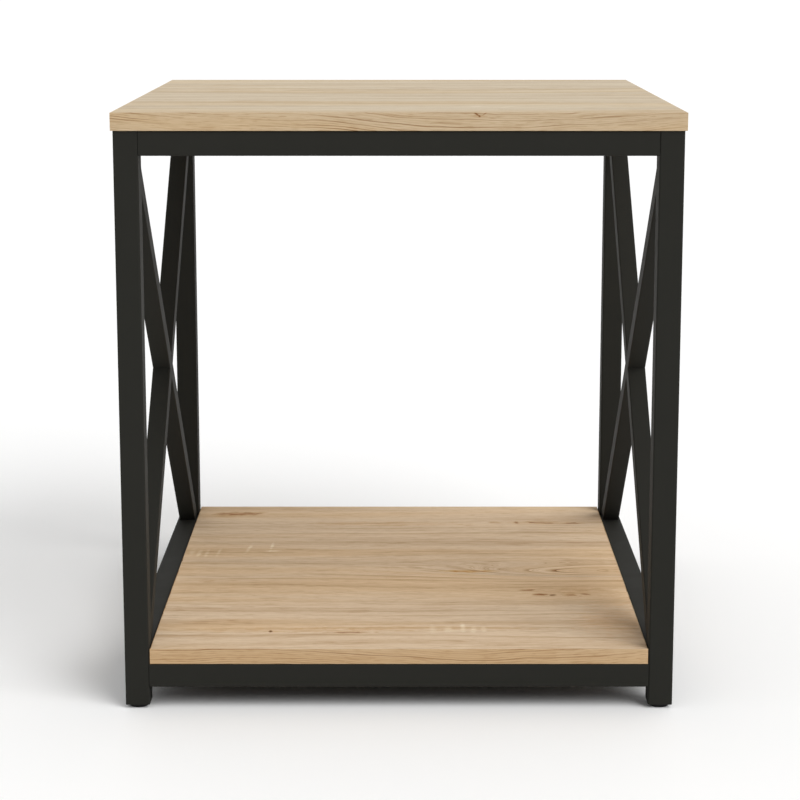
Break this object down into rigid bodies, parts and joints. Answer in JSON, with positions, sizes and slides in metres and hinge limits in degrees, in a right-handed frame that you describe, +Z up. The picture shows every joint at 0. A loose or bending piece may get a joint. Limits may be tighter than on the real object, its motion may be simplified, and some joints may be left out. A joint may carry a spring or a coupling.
{
  "type": "nightstand",
  "caption": "Open square nightstand: oak-faced top board and lower shelf on a dark square-tube steel frame with crossed braces at each side and levelling feet.",
  "frame": {"origin": "on the floor, under the middle of the top board", "axes": "+X to the right, -Y to the front and +Z up; the picture is taken from the front"},
  "size_m": [0.57, 0.57, 0.616],
  "materials": {
    "powder_coated_steel": "fine semi-matt charcoal powder coat on square steel tube",
    "oak_faced_board": "light rustic oak decor, matt, grain along X",
    "oak_edge_band": "1 mm edge band printed with the same oak grain, matt",
    "zinc_plated_steel": "bright zinc plate",
    "black_plastic": "moulded black plastic, matt"
  },
  "bodies": {
    "frame": {"front_left_leg": "powder_coated_steel", "back_left_leg": "powder_coated_steel", "front_right_leg": "powder_coated_steel", "back_right_leg": "powder_coated_steel", "front_top_rail": "powder_coated_steel", "front_bottom_rail": "powder_coated_steel", "back_top_rail": "powder_coated_steel", "back_bottom_rail": "powder_coated_steel", "left_top_rail": "powder_coated_steel", "left_bottom_rail": "powder_coated_steel", "right_top_rail": "powder_coated_steel", "right_bottom_rail": "powder_coated_steel", "left_brace_whole": "powder_coated_steel", "left_brace_upper_half": "powder_coated_steel", "left_brace_lower_half": "powder_coated_steel", "right_brace_whole": "powder_coated_steel", "right_brace_upper_half": "powder_coated_steel", "right_brace_lower_half": "powder_coated_steel", "top_board": "oak_faced_board", "shelf_board": "oak_faced_board", "top_board_band_front": "oak_edge_band", "top_board_band_back": "oak_edge_band", "top_board_band_left": "oak_edge_band", "top_board_band_right": "oak_edge_band", "shelf_board_band_front": "oak_edge_band", "shelf_board_band_back": "oak_edge_band", "shelf_board_band_left": "oak_edge_band", "shelf_board_band_right": "oak_edge_band", "top_board_screws": "zinc_plated_steel", "shelf_board_screws": "zinc_plated_steel", "front_left_foot_plug": "zinc_plated_steel", "back_left_foot_plug": "zinc_plated_steel", "front_right_foot_plug": "zinc_plated_steel", "back_right_foot_plug": "zinc_plated_steel"},
    "front_left_foot": {"front_left_foot": "black_plastic", "front_left_foot_stud": "zinc_plated_steel"},
    "back_left_foot": {"back_left_foot": "black_plastic", "back_left_foot_stud": "zinc_plated_steel"},
    "front_right_foot": {"front_right_foot": "black_plastic", "front_right_foot_stud": "zinc_plated_steel"},
    "back_right_foot": {"back_right_foot": "black_plastic", "back_right_foot_stud": "zinc_plated_steel"}
  },
  "joints": [
    {"name": "front_left_foot_height", "type": "slide", "parent": "frame", "child": "front_left_foot", "axis": [0, 0, -1], "range_m": [0, 0.01]},
    {"name": "back_left_foot_height", "type": "slide", "parent": "frame", "child": "back_left_foot", "axis": [0, 0, -1], "range_m": [0, 0.01]},
    {"name": "front_right_foot_height", "type": "slide", "parent": "frame", "child": "front_right_foot", "axis": [0, 0, -1], "range_m": [0, 0.01]},
    {"name": "back_right_foot_height", "type": "slide", "parent": "frame", "child": "back_right_foot", "axis": [0, 0, -1], "range_m": [0, 0.01]}
  ]
}
